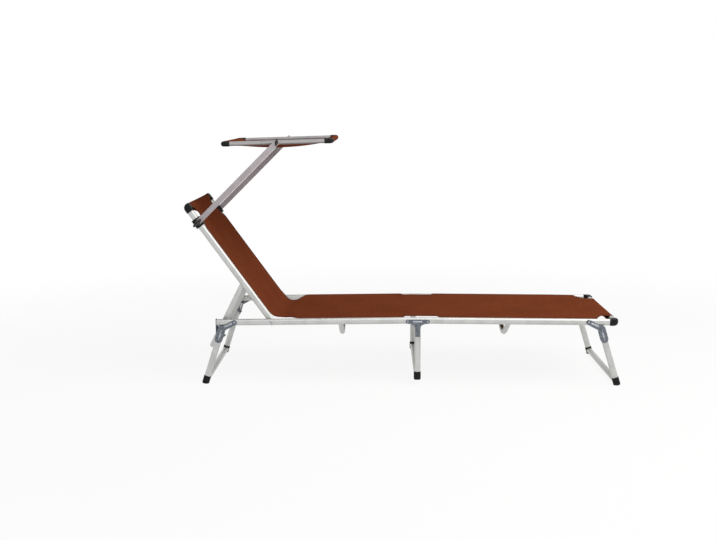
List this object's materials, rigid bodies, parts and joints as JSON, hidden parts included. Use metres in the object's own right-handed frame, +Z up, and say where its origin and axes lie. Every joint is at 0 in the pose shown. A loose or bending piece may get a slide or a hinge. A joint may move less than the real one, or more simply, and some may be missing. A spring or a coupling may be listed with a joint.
{
  "type": "folding sun lounger with canopy",
  "caption": "Folding aluminium sun lounger with a woven fabric sling, adjustable backrest and a tilting sun canopy on arms.",
  "frame": {"origin": "on the floor, under the middle of the lounger's overall length and width", "axes": "+X towards the foot end, +Y towards the left side, +Z up"},
  "size_m": [1.6662, 0.5846, 0.9411],
  "materials": {
    "aluminium": "anodised, satin",
    "arm_metal": "satin grey with a warm tint",
    "zinc": "zinc-plated pressed steel, blue-grey",
    "black_plastic": "moulded, matt",
    "fabric": "brown woven coated mesh"
  },
  "bodies": {
    "seat_frame": {"rear_rail_left": "aluminium", "rear_rail_right": "aluminium", "rear_bow": "aluminium", "ratchet_bracket_left": "zinc", "ratchet_bracket_right": "zinc", "seat_fabric": "fabric"},
    "foot_frame": {"foot_rail_left": "aluminium", "foot_rail_right": "aluminium", "foot_corner_left": "black_plastic", "foot_corner_right": "black_plastic", "foot_end_bar": "aluminium", "foot_bow": "aluminium", "foot_fabric": "fabric"},
    "middle_legs": {"middle_bracket_left": "zinc", "middle_bracket_right": "zinc", "middle_leg_left": "aluminium", "middle_leg_right": "aluminium", "middle_leg_foot_left": "black_plastic", "middle_leg_foot_right": "black_plastic", "middle_leg_bar": "aluminium"},
    "rear_legs": {"rear_leg_bracket_left": "zinc", "rear_leg_bracket_right": "zinc", "rear_leg_left": "aluminium", "rear_leg_right": "aluminium", "rear_leg_foot_left": "black_plastic", "rear_leg_foot_right": "black_plastic", "rear_leg_bar": "aluminium"},
    "foot_legs": {"foot_leg_bracket_left": "zinc", "foot_leg_bracket_right": "zinc", "foot_leg_left": "aluminium", "foot_leg_right": "aluminium", "foot_leg_foot_left": "black_plastic", "foot_leg_foot_right": "black_plastic", "foot_leg_bar": "aluminium"},
    "backrest": {"backrest_tube_left": "aluminium", "backrest_tube_right": "aluminium", "head_corner_left": "black_plastic", "head_corner_right": "black_plastic", "head_bar": "aluminium", "backrest_fabric": "fabric", "canopy_clamp_left": "black_plastic", "canopy_clamp_right": "black_plastic"},
    "strut": {"strut_arm_left": "aluminium", "strut_arm_right": "aluminium", "strut_bar": "aluminium"},
    "canopy_arms": {"canopy_arm_left": "arm_metal", "canopy_arm_right": "arm_metal"},
    "canopy": {"canopy_side_tube_left": "aluminium", "canopy_side_tube_right": "aluminium", "canopy_front_corner_left": "black_plastic", "canopy_front_corner_right": "black_plastic", "canopy_rear_corner_left": "black_plastic", "canopy_rear_corner_right": "black_plastic", "canopy_front_bar": "aluminium", "canopy_rear_bar": "aluminium", "canopy_fabric": "fabric"},
    "left_clamp_knob": {"clamp_knob_left": "black_plastic"},
    "right_clamp_knob": {"clamp_knob_right": "black_plastic"},
    "left_canopy_screw": {"canopy_screw_left": "black_plastic"},
    "right_canopy_screw": {"canopy_screw_right": "black_plastic"}
  },
  "joints": [
    {"name": "backrest_hinge", "type": "hinge", "parent": "seat_frame", "child": "backrest", "pos_m": [-0.5045, 0, 0.24188], "axis": [0, 1, 0], "range_deg": [-54, 60]},
    {"name": "strut_hinge", "type": "hinge", "parent": "backrest", "child": "strut", "pos_m": [-0.61324, 0, 0.39154], "axis": [0, 1, 0], "range_deg": [-54, 60]},
    {"name": "canopy_arm_clamp", "type": "hinge", "parent": "backrest", "child": "canopy_arms", "pos_m": [-0.78076, 0, 0.62211], "axis": [0, -1, 0], "range_deg": [-60, 60]},
    {"name": "canopy_tilt", "type": "hinge", "parent": "canopy_arms", "child": "canopy", "pos_m": [-0.47812, 0, 0.92476], "axis": [0, 1, 0], "range_deg": [-45, 60]},
    {"name": "rear_leg_fold", "type": "hinge", "parent": "seat_frame", "child": "rear_legs", "pos_m": [-0.6465, 0, 0.23994], "axis": [0, -1, 0], "range_deg": [0, 107]},
    {"name": "foot_leg_fold", "type": "hinge", "parent": "foot_frame", "child": "foot_legs", "pos_m": [0.705, 0, 0.24567], "axis": [0, 1, 0], "range_deg": [0, 107]},
    {"name": "middle_fold", "type": "hinge", "parent": "seat_frame", "child": "middle_legs", "pos_m": [0.01625, 0, 0.24548], "axis": [0, -1, 0], "range_deg": [-90, 0]},
    {"name": "foot_frame_fold", "type": "hinge", "parent": "middle_legs", "child": "foot_frame", "pos_m": [0.09275, 0, 0.24577], "axis": [0, 1, 0], "range_deg": [0, 90]},
    {"name": "left_clamp_knob_turn", "type": "hinge", "parent": "backrest", "child": "left_clamp_knob", "pos_m": [-0.78076, 0.27, 0.62211], "axis": [0, 1, 0], "range_deg": [-180, 180]},
    {"name": "right_clamp_knob_turn", "type": "hinge", "parent": "backrest", "child": "right_clamp_knob", "pos_m": [-0.78076, -0.27, 0.62211], "axis": [0, -1, 0], "range_deg": [-180, 180]},
    {"name": "left_canopy_screw_turn", "type": "hinge", "parent": "canopy_arms", "child": "left_canopy_screw", "pos_m": [-0.47812, 0.276, 0.92476], "axis": [0, 1, 0], "range_deg": [-180, 180]},
    {"name": "right_canopy_screw_turn", "type": "hinge", "parent": "canopy_arms", "child": "right_canopy_screw", "pos_m": [-0.47812, -0.276, 0.92476], "axis": [0, -1, 0], "range_deg": [-180, 180]}
  ],
  "couplings": [
    {"joint": "strut_hinge", "follows": "backrest_hinge", "ratio": 1}
  ]
}
